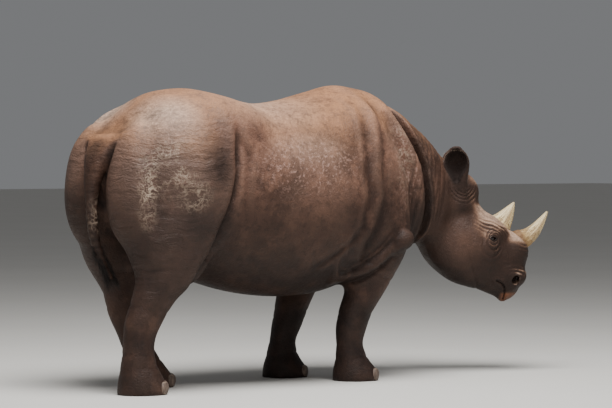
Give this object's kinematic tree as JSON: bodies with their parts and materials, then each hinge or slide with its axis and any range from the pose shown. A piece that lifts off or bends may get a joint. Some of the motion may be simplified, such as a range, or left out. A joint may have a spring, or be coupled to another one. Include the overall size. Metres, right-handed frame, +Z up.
{
  "type": "black rhinoceros",
  "caption": "Life-size model of a standing black rhinoceros with a hooked upper lip, two pale horns and thick wrinkled hide, head low.",
  "frame": {"origin": "middle of the animal's length and width, on the level of the soles", "axes": "+X forward along the body, +Y the animal's left, +Z up"},
  "size_m": [2.7874, 0.9646, 1.5454],
  "materials": {
    "hide": "matt, deeply wrinkled grey-brown skin with a dusting of pale tan earth",
    "horn": "satin fibrous keratin, cream with tan streaks",
    "eye": "wet and glossy, dark brown",
    "nail": "worn matt hoof nail",
    "bristle": "coarse dark hair"
  },
  "bodies": {
    "root": {"ear_left": "hide", "ear_right": "hide", "eye_left": "eye", "eye_right": "eye", "head": "hide", "horn_front": "horn", "horn_rear": "horn", "leg_fore_left_foot": "hide", "leg_fore_left_lower": "hide", "leg_fore_left_nail_inner": "nail", "leg_fore_left_nail_middle": "nail", "leg_fore_left_nail_outer": "nail", "leg_fore_left_upper": "hide", "leg_fore_right_foot": "hide", "leg_fore_right_lower": "hide", "leg_fore_right_nail_inner": "nail", "leg_fore_right_nail_middle": "nail", "leg_fore_right_nail_outer": "nail", "leg_fore_right_upper": "hide", "leg_hind_left_foot": "hide", "leg_hind_left_lower": "hide", "leg_hind_left_nail_inner": "nail", "leg_hind_left_nail_middle": "nail", "leg_hind_left_nail_outer": "nail", "leg_hind_left_upper": "hide", "leg_hind_right_foot": "hide", "leg_hind_right_lower": "hide", "leg_hind_right_nail_inner": "nail", "leg_hind_right_nail_middle": "nail", "leg_hind_right_nail_outer": "nail", "leg_hind_right_upper": "hide", "neck": "hide", "tail": "hide", "tail_brush": "bristle", "trunk": "hide"}
  },
  "joints": []
}
